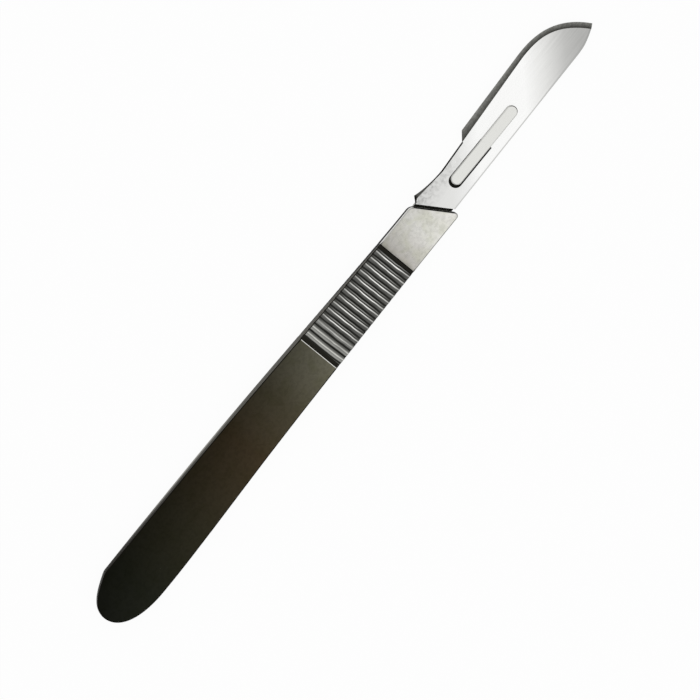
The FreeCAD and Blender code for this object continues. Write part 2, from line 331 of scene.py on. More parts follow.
# %% Inputs of the rule
def tree_with_inputs(name, sizes):
    """A new geometry tree with its group input, and one number socket for each named size."""
    tree = bpy.data.node_groups.new(name, "GeometryNodeTree")
    for size, value in sizes.items():
        kind = "NodeSocketInt" if isinstance(value, int) else "NodeSocketFloat"
        tree.interface.new_socket(size, in_out="INPUT", socket_type=kind).default_value = value
    tree.interface.new_socket("Material", in_out="INPUT", socket_type="NodeSocketMaterial")
    tree.interface.new_socket("Geometry", in_out="OUTPUT", socket_type="NodeSocketGeometry")
    return tree, tree.nodes.new("NodeGroupInput").outputs


grip_sizes = {
    "Start": GRIP_START, "Length": GRIP_LENGTH, "Ribs": RIB_COUNT, "Pitch": RIB_PITCH,
    "Lead in": ribs_start - GRIP_START, "Crest depth": CREST_DEPTH, "Groove depth": GROOVE_DEPTH,
    "Rear lip": REAR_LIP, "Lip": LIP_LENGTH, "Front lip": FRONT_LIP, "Rim radius": RIM_RADIUS,
    "Lean": RIB_LEAN, "Middle height": middle_height, "Thick": handle_high.z - handle_low.z,
    "Thin": WAIST_THICKNESS, "Waist start": WAIST_START, "Waist end": WAIST_END,
    "Steps": STEPS_PER_RIB, "End steps": END_STEPS, "Rows": ROWS_ACROSS,
}
for place, (edge_side, spine_side) in width_marks.items():
    grip_sizes[place + " edge side"] = edge_side
    grip_sizes[place + " spine side"] = spine_side
print("the rule has", len(grip_sizes), "inputs")

# %% [markdown]
# ## The rule itself
# The cutter leaves a groove, a crest and the next groove, always the same. The grooves could be
# cut out one by one, but that takes a cutting body for each and leaves uneven faces. Here each
# point of a plain block is moved once instead: along to its place, out towards the side wall, and
# up or down to the face, less the depth of the cut there.

# %% The rule
LEAN_FROM_SHARE = 0.2


def grip_tree():
    """The tree that moves each point of a plain block to its place on the milled grip."""
    tree, size = tree_with_inputs("milled_grip", grip_sizes)

    # Short forms of the sums and of two curves, for this tree alone
    def times(first, second):
        return maths(tree, "MULTIPLY", first, second)

    def less(first, second):
        return maths(tree, "SUBTRACT", first, second)

    def plus(first, second):
        return maths(tree, "ADD", first, second)

    def ease(value, low, high):
        """A smooth step from 0 to 1 between two values."""
        return put(tree, "ShaderNodeMapRange", {"Value": value, "From Min": low, "From Max": high},
                   interpolation_type="SMOOTHSTEP").outputs["Result"]

    def through(middle_share, rear, middle, front, share):
        """A gentle curve along the grip through its rear, middle and front value."""
        straight = plus(rear, times(less(front, rear), share))
        chord = maths(tree, "DIVIDE", plus(rear, front), 2.0)
        return plus(straight, times(less(middle, chord), middle_share))

    # A block with a column of points for each step along the grip
    rib_steps = times(size["Ribs"], size["Steps"])
    columns = plus(plus(rib_steps, times(size["End steps"], 2)), 1)
    block = put(tree, "GeometryNodeMeshCube", {"Size": (1, 1, 1), "Vertices X": columns,
                                               "Vertices Y": size["Rows"], "Vertices Z": 2})
    spot = put(tree, "ShaderNodeSeparateXYZ", {0: put(tree, "GeometryNodeInputPosition").outputs[0]})
    column = times(plus(spot.outputs[0], 0.5), less(columns, 1))

    # How far along the grip a column lies: the lead in, the ribs, the run out
    ribs_length = times(size["Ribs"], size["Pitch"])
    run_out = less(less(size["Length"], size["Lead in"]), ribs_length)
    after_rear = less(column, size["End steps"])
    rear_share = maths(tree, "DIVIDE", column, size["End steps"], clamp=True)
    rib_share = maths(tree, "DIVIDE", after_rear, rib_steps, clamp=True)
    front_share = maths(tree, "DIVIDE", less(after_rear, rib_steps), size["End steps"], clamp=True)
    past_rear = plus(times(ribs_length, rib_share), times(run_out, front_share))
    reached = plus(times(size["Lead in"], rear_share), past_rear)
    left = less(size["Length"], reached)
    share = maths(tree, "DIVIDE", reached, size["Length"])

    # How deep it lies: a round rib from groove to groove, with a steep wall at each end
    turn = maths(tree, "FRACT", times(rib_share, size["Ribs"]))
    off_crest = maths(tree, "ABSOLUTE", less(times(turn, 2.0), 1.0))
    rib_height = less(size["Groove depth"], size["Crest depth"])
    rib = plus(size["Crest depth"], times(rib_height, times(off_crest, off_crest)))
    rear_wall = ease(reached, size["Rear lip"], size["Lip"])
    depth = times(rib, maths(tree, "MINIMUM", rear_wall, ease(left, 0.0, size["Front lip"])))

    # How far out it lies, on a bowed side with a round rim
    across = maths(tree, "SINE", times(spot.outputs[1], math.pi))
    outward = maths(tree, "ABSOLUTE", across)
    bulge = times(times(share, less(1.0, share)), 4.0)
    half = {side: through(bulge, size["Rear " + side], size["Middle " + side], size["Front " + side], share)
            for side in ("edge side", "spine side")}
    on_edge_side = maths(tree, "GREATER_THAN", across, 0.0)
    half_width = plus(half["spine side"], times(less(half["edge side"], half["spine side"]), on_edge_side))
    from_wall = times(half_width, less(1.0, outward))
    short = maths(tree, "MAXIMUM", less(size["Rim radius"], from_wall), 0.0)
    square = less(times(size["Rim radius"], size["Rim radius"]), times(short, short))
    rim = less(size["Rim radius"], maths(tree, "SQRT", square))
    depth = maths(tree, "MAXIMUM", depth, rim)

    # How high it lies, on the upper or the lower face of a handle that grows thinner
    x = plus(size["Start"], reached)
    waist = ease(x, size["Waist start"], size["Waist end"])
    thickness = less(size["Thick"], times(less(size["Thick"], size["Thin"]), waist))
    side = times(spot.outputs[2], 2.0)
    z = plus(size["Middle height"], times(side, less(times(thickness, 0.5), depth)))

    # The ribs lean forward on the spine's side, but not at the two end walls
    past_middle = maths(tree, "MAXIMUM", less(LEAN_FROM_SHARE, across), 0.0)
    spine_end = maths(tree, "POWER", past_middle, 2.0)
    rear_fade = ease(reached, size["Lip"], size["Pitch"])
    fade = maths(tree, "MINIMUM", rear_fade, ease(left, size["Lip"], size["Pitch"]))
    lean = times(times(size["Lean"], spine_end), fade)

    place = put(tree, "ShaderNodeCombineXYZ", {0: plus(x, lean), 1: times(across, half_width), 2: z})
    shaped = put(tree, "GeometryNodeSetPosition", {"Geometry": block.outputs["Mesh"],
                                                   "Position": place.outputs[0]})
    real = put(tree, "GeometryNodeRealizeInstances", {"Geometry": shaped.outputs[0]})
    coated = put(tree, "GeometryNodeSetMaterial", {"Geometry": real.outputs[0],
                                                   "Material": size["Material"]})
    put(tree, "NodeGroupOutput", {"Geometry": coated.outputs[0]})
    return tree


# %% [markdown]
# ## The grip block
# The tree only says how the block is shaped. On the real handle the grip isn't a part of its own,
# so the block will be joined to the rest, and for that it has to be a plain mesh. The modifier
# could stay on it, but then every later step would work the rule out again, so it is worked in
# once and taken off. The block has the handle's steel from the start.

# %% Grip block
def baked(piece):
    """The piece's mesh with its modifiers worked in. The modifiers are then taken off."""
    bpy.context.view_layer.update()
    result = piece.evaluated_get(bpy.context.evaluated_depsgraph_get())
    mesh = bpy.data.meshes.new_from_object(result)
    piece.modifiers.clear()
    return mesh


def new_piece(name, mesh):
    piece = bpy.data.objects.new(name, mesh)
    bpy.context.scene.collection.objects.link(piece)
    return piece


def make_grip(material):
    grip = new_piece("grip_block", bpy.data.meshes.new("grip_block"))
    rule = grip.modifiers.new("milled_grip", "NODES")
    rule.node_group = grip_tree()
    sockets = {item.name: item.identifier for item in rule.node_group.interface.items_tree}
    for name, value in grip_sizes.items():
        rule[sockets[name]] = value
    rule[sockets["Material"]] = material
    grip.data = baked(grip)
    print("grip block", len(grip.data.polygons), "faces")
    return grip


# %% [markdown]
# ## The handle, in one piece
# The handle is forged and milled from one bar, so it stays one closed mesh. A copy of the solid
# gives the body, the front flat, the shoulder and the fitting. Its plain grip is cut out between
# two sections, the ends are closed, and a union joins the new block. Edges turn sharp only where
# two faces meet at a clear angle, and weighted normals keep the large flats flat beside the small
# rounded rims.

# %% Handle
SHARP_ANGLE = math.radians(32)


def handle_without_grip():
    """The two ends of the handle as closed solids in one mesh."""
    ends = bpy.data.meshes.new("handle_ends")
    whole = bmesh.new()
    for x, keep_rear in ((GRIP_START, True), (grip_end, False)):
        end = merged_copy("handle")
        parts = end.verts[:] + end.edges[:] + end.faces[:]
        bmesh.ops.bisect_plane(end, geom=parts, plane_co=(x, 0, 0), plane_no=(1, 0, 0),
                               clear_outer=keep_rear, clear_inner=not keep_rear)
        bmesh.ops.holes_fill(end, edges=[edge for edge in end.edges if edge.is_boundary])
        end.to_mesh(ends)
        end.free()
        whole.from_mesh(ends)
    bmesh.ops.recalc_face_normals(whole, faces=whole.faces)
    whole.to_mesh(ends)
    whole.free()
    return new_piece("handle_dressed", ends)


def soften(piece):
    """Smooth shading with sharp edges kept where faces meet at a clear angle."""
    shape = bmesh.new()
    shape.from_mesh(piece.data)
    bmesh.ops.remove_doubles(shape, verts=shape.verts, dist=MERGE_GAP)
    bmesh.ops.dissolve_degenerate(shape, edges=shape.edges, dist=MERGE_GAP)
    for face in shape.faces:
        face.smooth = True
    for edge in shape.edges:
        edge.smooth = edge.calc_face_angle(math.pi) < SHARP_ANGLE
    open_edges = sum(not edge.is_manifold for edge in shape.edges)
    shape.to_mesh(piece.data)
    shape.free()
    weighted = piece.modifiers.new("weighted", "WEIGHTED_NORMAL")
    weighted.keep_sharp = True
    piece.data = baked(piece)
    print(piece.name, len(piece.data.polygons), "faces,", open_edges, "open edges")


def make_handle(material):
    handle = handle_without_grip()
    grip = make_grip(material)
    union = handle.modifiers.new("union", "BOOLEAN")
    union.operation = "UNION"
    union.solver = "EXACT"
    union.object = grip
    handle.data = baked(handle)
    bpy.data.objects.remove(grip)
    handle.data.materials.clear()
    handle.data.materials.append(material)
    soften(handle)
    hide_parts("handle")
    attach(handle, "root")


# %% [markdown]
# ## Effects that both steels share
# A finish is a few effects on top of each other. Brushed grain is noise drawn out into fine lines.
# Handling leaves soft stains, and there is a rare small light speck. Edges are where the surface
# turns away from the flat: a rim between face and wall, and the wall itself. Their masks mark where
# each steel paints its reflections, highlights and shade. They could be painted by hand, but a rule
# has no seams and stays sharp from close by. So each effect is a node group, built once, and each
# steel places it with its own values.

# %% Node groups
STAIN_FROM = 0.42
STAIN_TO = 0.66
SPECK_SPACING = 0.2
SPECK_RARITY = 0.985
WALL_FADE = 0.15
BREAKUP_PER_METRE = 900.0


def times(tree, first, second):
    return maths(tree, "MULTIPLY", first, second)


def plus(tree, first, second):
    return maths(tree, "ADD", first, second)


def less(tree, first, second):
    return maths(tree, "SUBTRACT", first, second)


def shader_group(name, inputs, outputs):
    """A node group for materials, with named inputs and outputs."""
    tree = bpy.data.node_groups.new(name, "ShaderNodeTree")
    for label, value in inputs.items():
        kind = "NodeSocketVector" if isinstance(value, tuple) else "NodeSocketFloat"
        tree.interface.new_socket(label, in_out="INPUT", socket_type=kind).default_value = value
    for label in outputs:
        tree.interface.new_socket(label, in_out="OUTPUT", socket_type="NodeSocketFloat")
    return tree, tree.nodes.new("NodeGroupInput").outputs


def brushed_grain_group():
    inputs = {"Place": (0, 0, 0), "Lines per metre": (1, 1, 1)}
    tree, given = shader_group("brushed_grain", inputs, ["Grain"])
    drawn = put(tree, "ShaderNodeVectorMath", {0: given["Place"], 1: given["Lines per metre"]},
                operation="MULTIPLY")
    noise = put(tree, "ShaderNodeTexNoise", {"Vector": drawn.outputs[0], "Scale": 1.0, "Detail": 3.0})
    put(tree, "NodeGroupOutput", {"Grain": noise.outputs["Fac"]})
    return tree


# Soft stains, and a rare small light speck.
def stains_and_specks_group():
    inputs = {"Place": (0, 0, 0), "Stain size": 0.002, "Speck size": 0.001}
    tree, given = shader_group("stains_and_specks", inputs, ["Stain", "Speck"])
    per_metre = maths(tree, "DIVIDE", 1.0, given["Stain size"])
    patches = put(tree, "ShaderNodeTexNoise", {"Vector": given["Place"], "Detail": 2.0,
                                               "Distortion": 0.6, "Scale": per_metre})
    stain = spread(tree, patches.outputs["Fac"], STAIN_FROM, STAIN_TO)
    dots_per_metre = maths(tree, "DIVIDE", SPECK_SPACING, given["Speck size"])
    dots = put(tree, "ShaderNodeTexVoronoi", {"Vector": given["Place"], "Scale": dots_per_metre})
    chance = put(tree, "ShaderNodeSeparateColor", {0: dots.outputs["Color"]}).outputs[0]
    chosen = maths(tree, "GREATER_THAN", chance, SPECK_RARITY)
    speck = times(tree, spread(tree, dots.outputs["Distance"], 0.1, 0.05), chosen)
    put(tree, "NodeGroupOutput", {"Stain": stain, "Speck": speck})
    return tree


# Masks of the rims and walls, where each steel paints its reflections, highlights and shade.
def rim_and_wall_masks_group():
    inputs = {"Facing": (0, 0, 1), "Place": (0, 0, 0), "Flat limit": 0.99,
              "Softness": 0.03, "Wall limit": 0.3, "Breakup": 0.3}
    tree, given = shader_group("rim_and_wall_masks", inputs, ["Rim", "Wall"])
    facing_z = put(tree, "ShaderNodeSeparateXYZ", {0: given["Facing"]}).outputs[2]
    flat = maths(tree, "ABSOLUTE", facing_z)
    wall = spread(tree, flat, plus(tree, given["Wall limit"], WALL_FADE), given["Wall limit"])
    full_rim = less(tree, given["Flat limit"], given["Softness"])
    rim = spread(tree, flat, given["Flat limit"], full_rim)
    noise = put(tree, "ShaderNodeTexNoise", {"Vector": given["Place"], "Scale": BREAKUP_PER_METRE,
                                             "Detail": 2.0})
    kept = less(tree, 1.0, times(tree, given["Breakup"], noise.outputs["Fac"]))
    put(tree, "NodeGroupOutput", {"Rim": times(tree, rim, kept), "Wall": wall})
    return tree


groups = {"grain": brushed_grain_group(), "marks": stains_and_specks_group(), "edges": rim_and_wall_masks_group()}
print("shared effects:", [group.name for group in groups.values()])

# %% [markdown]
# ## Helpers for the two steels
# Steel is a metal all through. Where a metal is seen at a slant it turns almost white, and the
# narrow side walls could then never look dark, so that share is held back. The other helpers pick
# a strip of the surface, lay one colour over another there, and make a colour a little uneven,
# because no real polish is quite even.

# %% Helpers for the steels
SLANTED_SHARE = (0.4, 0.4, 0.4, 1)
NOISE_LOW = 0.3
NOISE_HIGH = 0.7
BAND_FADE = 0.02 * MM


def steel_base(name):
    """A new metal with its shader, and where each point is and faces on the object."""
    material = bpy.data.materials.new(name)
    material.use_nodes = True
    tree = material.node_tree
    shader = tree.nodes["Principled BSDF"]
    shader.inputs["Metallic"].default_value = 1.0
    shader.inputs["Specular Tint"].default_value = SLANTED_SHARE
    spot = put(tree, "ShaderNodeTexCoord").outputs
    place = put(tree, "ShaderNodeSeparateXYZ", {0: spot["Object"]}).outputs
    facing = put(tree, "ShaderNodeSeparateXYZ", {0: spot["Normal"]}).outputs
    return material, tree, shader, spot, place, facing


def effect(tree, name, **inputs):
    """One of the shared effects, placed in a material with its own values."""
    node = tree.nodes.new("ShaderNodeGroup")
    node.node_tree = groups[name]
    for label, value in inputs.items():
        socket = node.inputs[label.replace("_", " ")]
        if isinstance(value, bpy.types.NodeSocket):
            tree.links.new(value, socket)
        else:
            socket.default_value = value
    return node.outputs


def drawn_grain(tree, spot, lines_along, lines_across):
    """Brushed grain, with its lines to the metre along and across the instrument."""
    lines = (lines_along, lines_across, lines_across)
    return effect(tree, "grain", Place=spot["Object"], Lines_per_metre=lines)["Grain"]


def from_noise(tree, noise, low, high):
    """A noise stretched so that it fills the range from low to high."""
    return spread(tree, noise, NOISE_LOW, NOISE_HIGH, low, high)


def band(tree, value, low, high):
    """A mask that is 1 between two values, with a short fade at each."""
    above_low = spread(tree, value, low - BAND_FADE, low + BAND_FADE)
    return times(tree, above_low, spread(tree, value, high + BAND_FADE, high - BAND_FADE))


def dimmed(tree, colour, share):
    """A colour made lighter or darker by a factor that changes over the surface."""
    return put(tree, "ShaderNodeVectorMath", {0: colour, "Scale": share}, operation="SCALE").outputs[0]


def steel_run(*stops):
    """A run of steel greys: each stop is a place, its red, green and blue."""
    return [(place, tone(*colour)) for place, *colour in stops]


def finish_surface(tree, shader, colour, grain, polish, scratch, scratch_height):
    """Joins the colour to the shader, and the grain as its roughness and as fine scratches."""
    tree.links.new(colour, shader.inputs["Base Color"])
    tree.links.new(from_noise(tree, grain, *polish), shader.inputs["Roughness"])
    bump = put(tree, "ShaderNodeBump", {"Strength": scratch, "Distance": scratch_height, "Height": grain})
    tree.links.new(bump.outputs[0], shader.inputs["Normal"])


# %% [markdown]
# ## What the ribs mirror
# A rib is round, so it mirrors the whole room at once: a grey flank, a bright line on its crest, a
# thin second line and a dark groove. The mirrored room could be left to do this alone, but the
# lines would move with every light. So a ramp paints these reflections by how far a point is from
# its groove. The first ribs, next to the lip, have broader and softer lines, and every line fades
# towards the ends of its rib. A little noise bends the lines, because no cutter runs quite true.
# The flat floor at each end of the grip is painted dark as shade, and the lip at the rear gets one
# painted highlight line.

# %% Ribs
WANDER_PER_METRE = 420.0
WANDER_REACH = 0.05 * MM
LEAN_FROM = 1.0 * MM
LEAN_TO = -4.8 * MM
LINE_FADES_FROM = 1.8 * MM
LINE_FADES_TO = 4.4 * MM
SOFT_RIBS = 1.7
EVEN_RIBS = 3.3
FRONT_FLOOR = 0.78 * MM
LIP_LINE = 0.18 * MM
# Painted reflections across one rib, from groove to groove: the usual ribs, their ends and the first ribs.
rib_run = steel_run(
    (0.0, 38, 38, 35), (0.08, 72, 72, 69), (0.15, 92, 92, 89), (0.3, 95, 95, 92), (0.4, 102, 102, 99),
    (0.442, 246, 246, 242), (0.515, 246, 246, 242), (0.555, 86, 86, 82), (0.66, 50, 50, 47),
    (0.715, 60, 60, 57), (0.755, 178, 178, 174), (0.81, 172, 172, 168), (0.85, 66, 66, 62),
    (0.92, 50, 50, 46), (1.0, 36, 36, 32))
rib_end_run = steel_run(
    (0.0, 54, 54, 51), (0.08, 96, 96, 93), (0.15, 108, 108, 105), (0.3, 102, 102, 99), (0.4, 98, 98, 95),
    (0.45, 170, 170, 166), (0.54, 170, 170, 166), (0.58, 76, 76, 73), (0.68, 64, 64, 61),
    (0.78, 88, 88, 84), (0.86, 54, 54, 51), (1.0, 50, 50, 47))
first_rib_run = steel_run(
    (0.0, 52, 52, 48), (0.1, 34, 34, 31), (0.19, 78, 78, 74), (0.26, 170, 170, 165), (0.34, 160, 160, 156),
    (0.46, 118, 118, 114), (0.54, 150, 150, 146), (0.6, 204, 204, 198), (0.68, 176, 176, 170),
    (0.76, 124, 124, 120), (0.92, 104, 104, 100), (1.0, 54, 54, 50))


def turn_on_rib(tree, place, wander):
    """Where a point is on its rib, from 0 in the groove behind it to 1 in the groove in front."""
    toward_spine = spread(tree, place[1], LEAN_FROM, LEAN_TO)
    lean = times(tree, RIB_LEAN, times(tree, toward_spine, toward_spine))
    bent = from_noise(tree, wander, -WANDER_REACH, WANDER_REACH)
    straightened = plus(tree, less(tree, place[0], lean), bent)
    return maths(tree, "FRACT", maths(tree, "DIVIDE", less(tree, straightened, ribs_start), RIB_PITCH))


def rib_colour(tree, spot, place):
    """The painted reflections on the ribs, the painted shade on the flat floor at each end and the painted
    highlight on the lip.
    """
    x = place[0]
    wander = put(tree, "ShaderNodeTexNoise", {"Vector": spot["Object"], "Scale": WANDER_PER_METRE,
                                              "Detail": 1.0}).outputs["Fac"]
    turn = turn_on_rib(tree, place, wander)
    near_end = spread(tree, maths(tree, "ABSOLUTE", place[1]), LINE_FADES_FROM, LINE_FADES_TO)
    colour = blend(tree, near_end, ramp(tree, turn, rib_run), ramp(tree, turn, rib_end_run))
    soft_to = ribs_start + SOFT_RIBS * RIB_PITCH
    first_ribs = spread(tree, x, soft_to, ribs_start + EVEN_RIBS * RIB_PITCH, 1.0, 0.0)
    level = spread(tree, x, FIRST_CREST, FIRST_CREST + RIB_PITCH, 1.12, 0.94)
    colour = blend(tree, first_ribs, colour, dimmed(tree, ramp(tree, turn, first_rib_run), level))
    colour = dimmed(tree, colour, from_noise(tree, wander, 0.86, 1.14))
    # The flat floor at each end of the grip is painted dark as shade.
    rear_floor = band(tree, x, GRIP_START, ribs_start)
    shaded_floors = maths(tree, "MAXIMUM", rear_floor, band(tree, x, grip_end - FRONT_FLOOR, grip_end))
    colour = blend(tree, shaded_floors, colour, tone(34, 33, 29))
    # The rear lip gets one painted highlight line.
    lip = band(tree, x, GRIP_START, GRIP_START + LIP_LINE)
    lip_highlight = dimmed(tree, tone(240, 240, 234)[:3], from_noise(tree, wander, 0.7, 1.0))
    return blend(tree, lip, colour, lip_highlight)


print("ribs from", round(ribs_start / MM, 2), "mm, one each", round(RIB_PITCH / MM, 2), "mm")

# %% [markdown]
# ## The handle's faces and walls
# The handle is polished steel that has been handled for years, with large and small stains. Its
# tail mirrors a dark room, so a ramp along the handle paints it almost black there as a painted
# reflection, warmer and lighter towards the grip, and pale on the flat in front. The side wall
# carries a painted reflection too: lighter near the sheet that it lies on, and most so halfway along
# the tail. Beside the flat in front the wall is painted pale, and the wall of the shoulder, which is
# turned away, is painted dark as shade. Along the foot of the wall runs a painted black line, where
# the steel mirrors its own shadow on the sheet.

# %% Faces and walls
TAIL = handle_low.x
RUN_END = TAIL + 110 * MM
STAIN_TINT = (0.85, 0.87, 0.76, 1)
WALL_LOW = 0.4 * MM
WALL_HIGH = 2.0 * MM
FOOT_STARTS = (20 * MM, 27 * MM)
FOOT_RISES = (24 * MM, 50 * MM)
FOOT_TOP = (0.5 * MM, 1.95 * MM)
CORNER = (59 * MM, 60.2 * MM)
CORNER_TOP = 3.4 * MM
# A painted reflection along the handle, in mm from the tail: dark at the tail, pale on the front flat.
handle_run = steel_run(
    (0, 23, 24, 20), (10, 26, 27, 21), (26, 37, 35, 26), (46, 51, 43, 31), (58, 62, 58, 46),
    (70, 88, 86, 74), (95.4, 120, 118, 112), (96.2, 166, 163, 158), (98.5, 182, 180, 175),
    (100.6, 193, 191, 186), (103, 203, 202, 197), (110, 209, 207, 203))
# The side wall's painted reflection, near the sheet and near the rim.
low_wall_run = steel_run(
    (0, 62, 60, 54), (14, 88, 86, 80), (32, 210, 208, 201), (43, 206, 204, 197), (51, 140, 138, 132),
    (60, 122, 120, 114), (110, 118, 116, 111))
high_wall_run = steel_run(
    (0, 46, 44, 39), (14, 52, 50, 45), (33, 84, 82, 76), (50, 112, 110, 103), (70, 118, 116, 110),
    (110, 112, 110, 105))


def handle_face(tree, x, y, marks, fine_marks, grain):
    """The flat faces: a painted reflection, lighter on the spine's side, with stains and a rare speck."""
    in_front = spread(tree, x, grip_end - 0.4 * MM, grip_end)
    # The painted reflection is lighter on the spine's side, behind the front flat and on it.
    behind = spread(tree, y, -5 * MM, 5 * MM, 1.35, 0.68)
    ahead = spread(tree, y, -4.5 * MM, 4.5 * MM, 1.22, 0.98)
    level = plus(tree, behind, times(tree, in_front, less(tree, ahead, behind)))
    face = dimmed(tree, along(tree, x, TAIL, RUN_END, handle_run), level)
    mottled = blend(tree, times(tree, marks["Stain"], 0.6), WHITE, STAIN_TINT)
    face = put(tree, "ShaderNodeVectorMath", {0: face, 1: mottled}, operation="MULTIPLY").outputs[0]
    face = dimmed(tree, face, spread(tree, fine_marks["Stain"], 0.0, 1.0, 1.04, 0.9))
    face = blend(tree, times(tree, fine_marks["Speck"], 0.3), face, tone(210, 208, 200))
    return dimmed(tree, face, from_noise(tree, grain, 0.95, 1.05))


def handle_wall(tree, x, z, sideways):
    """The side wall's painted reflection, from the sheet up to the rim, and the shoulder's wall in painted
    shade.
    """
    low_wall = along(tree, x, TAIL, RUN_END, low_wall_run)
    high_wall = along(tree, x, TAIL, RUN_END, high_wall_run)
    wall = blend(tree, spread(tree, z, WALL_LOW, WALL_HIGH), low_wall, high_wall)
    # Beside the front flat the wall gets a paler painted reflection.
    in_front = spread(tree, x, grip_end - 0.3 * MM, grip_end + 0.3 * MM)
    on_edge_side = spread(tree, sideways, -0.1, 0.1)
    front_wall = blend(tree, on_edge_side, tone(186, 185, 181), tone(250, 249, 245))
    wall = blend(tree, in_front, wall, front_wall)
    # Walls that face along the handle, as the shoulder's, are painted dark as shade.
    turned_away = spread(tree, maths(tree, "ABSOLUTE", sideways), 0.7, 0.5)
    return blend(tree, turned_away, wall, tone(32, 31, 28))


def foot_line(tree, x, z, facing, wall):
    """A mask for the painted black line at the foot of the wall, on the cutting edge's side, where the steel
    mirrors its shadow on the sheet.
    """
    rising = spread(tree, x, *FOOT_RISES, *FOOT_TOP)
    top = maths(tree, "MAXIMUM", rising, spread(tree, x, *CORNER, 0.0, CORNER_TOP))
    below = spread(tree, less(tree, z, top), 0.1 * MM, -0.1 * MM)
    steep = maths(tree, "MAXIMUM", wall, spread(tree, facing[1], 0.1, 0.3))
    on_edge_side = times(tree, spread(tree, facing[1], 0.05, 0.2), spread(tree, x, *FOOT_STARTS))
    return times(tree, times(tree, below, steep), on_edge_side)


print("handle colours run over", round((RUN_END - TAIL) / MM), "mm in", len(handle_run), "stops")

# %% [markdown]
# ## The blade fitting
# The stud's top is a polished flat, framed by a small chamfer with a painted highlight on the
# spine's side and painted shade on the other side and at its front. Its wall stands in the blade's
# slot, and the seat around it is painted black as the blade's shade, so a black line shows wherever
# the slot is wider than the stud. Each could be a material slot of its own, but they belong to one
# milled surface, and their heights tell them apart.

# %% Fitting
SEAT_HEIGHT = 1.82 * MM
SEAT_REACH = 0.1 * MM
CHAMFER_HEIGHTS = (2.44 * MM, 2.5 * MM)
STUD_TOP_HEIGHTS = (2.6 * MM, 2.64 * MM)
BRIGHTER_FRONT = (78.5 * MM, 79.5 * MM)


def fitting_colour(tree, x, z, facing):
    """The stud's top, its chamfer in painted light and shade, its wall, and the seat in painted shade."""
    # The chamfer: a painted highlight on the spine's side, painted shade on the edge's side and at the
    # front, lighter further forward.
    far = spread(tree, x, *BRIGHTER_FRONT)
    sunny = blend(tree, far, tone(240, 240, 236), tone(252, 252, 248))
    shaded = blend(tree, far, tone(212, 212, 208), tone(238, 238, 234))
    chamfer = blend(tree, spread(tree, facing[1], -0.1, 0.3), sunny, shaded)
    chamfer = blend(tree, spread(tree, facing[0], 0.2, 0.5), chamfer, tone(126, 126, 122))
    fitting = blend(tree, spread(tree, z, *CHAMFER_HEIGHTS), tone(226, 225, 221), chamfer)
    fitting = blend(tree, spread(tree, z, *STUD_TOP_HEIGHTS), fitting, tone(225, 225, 221))
    # The seat, seen through the slot, is painted black as the blade's shade.
    at_seat = band(tree, z, SEAT_HEIGHT - SEAT_REACH, SEAT_HEIGHT + SEAT_REACH)
    seat = times(tree, at_seat, spread(tree, facing[2], 0.4, 0.8))
    return blend(tree, seat, fitting, tone(22, 22, 19))


print("seat at", round(SEAT_HEIGHT / MM, 2), "mm, stud's top from", round(STUD_TOP_HEIGHTS[0] / MM, 2), "mm")

# %% [markdown]
# ## The handle's steel, put together
# One bar has one steel, so all of this is one material, laid on from the bottom up: the faces, the
# rims around them with a painted dark reflection along the tail and grip and a painted highlight in
# front, the side walls with the painted black line at their foot, the ribs with a painted dark line
# at their ends, and last the fitting in front of the slanted shoulder. The grain makes the polish a
# little uneven and leaves very fine scratches.

# %% Handle steel
SHOULDER = 62.46 * MM
SHOULDER_LEAN = 0.6128
RIB_END_REACH = (5.18 * MM, 4.64 * MM)
SMALLEST = 0.0001


def make_handle_steel():
    material, tree, shader, spot, place, facing = steel_base("handle_steel")
    x, y, z = place
    edges = effect(tree, "edges", Facing=spot["Normal"], Place=spot["Object"],
                   Flat_limit=0.99, Softness=0.03, Wall_limit=0.35, Breakup=0.25)
    marks = effect(tree, "marks", Place=spot["Object"], Stain_size=3.2 * MM, Speck_size=0.12 * MM)
    fine_marks = effect(tree, "marks", Place=spot["Object"], Stain_size=0.8 * MM, Speck_size=0.12 * MM)
    grain = drawn_grain(tree, spot, 900.0, 14000.0)
    off_flat = maths(tree, "MAXIMUM", less(tree, 1.0, times(tree, facing[2], facing[2])), SMALLEST)
    sideways = maths(tree, "DIVIDE", facing[1], maths(tree, "SQRT", off_flat))

    # Faces, rims and walls
    # The rims get a painted dark reflection along the tail and grip, and a painted highlight in front.
    in_front = spread(tree, x, grip_end, grip_end + 1 * MM)
    rim_highlight = blend(tree, spread(tree, sideways, 0.9, 0.7), tone(202, 201, 197), tone(156, 155, 151))
    rim = blend(tree, in_front, tone(24, 23, 20), rim_highlight)
    colour = blend(tree, edges["Rim"], handle_face(tree, x, y, marks, fine_marks, grain), rim)
    colour = blend(tree, edges["Wall"], colour, handle_wall(tree, x, z, sideways))
    colour = blend(tree, foot_line(tree, x, z, facing, edges["Wall"]), colour, tone(12, 11, 10))

    # Ribs and the fitting
    # A painted dark reflection along the rims at the ribs' ends.
    rib_end = spread(tree, x, GRIP_START, grip_end, *RIB_END_REACH)
    rib_end_dark_reflection = spread(tree, less(tree, rib_end, y), 0.3 * MM, 0.2 * MM)
    ribs = blend(tree, rib_end_dark_reflection, rib_colour(tree, spot, place), tone(36, 35, 32))
    on_face = spread(tree, maths(tree, "ABSOLUTE", facing[1]), 0.75, 0.6)
    colour = blend(tree, times(tree, band(tree, x, GRIP_START, grip_end), on_face), colour, ribs)
    before_shoulder = less(tree, SHOULDER, plus(tree, x, times(tree, SHOULDER_LEAN, y)))
    on_fitting = spread(tree, before_shoulder, 0.0, -0.05 * MM)
    colour = blend(tree, on_fitting, colour, fitting_colour(tree, x, z, facing))

    finish_surface(tree, shader, colour, grain, (0.26, 0.36), 0.12, 0.004 * MM)
    print("handle steel", len(tree.nodes), "nodes")
    return material


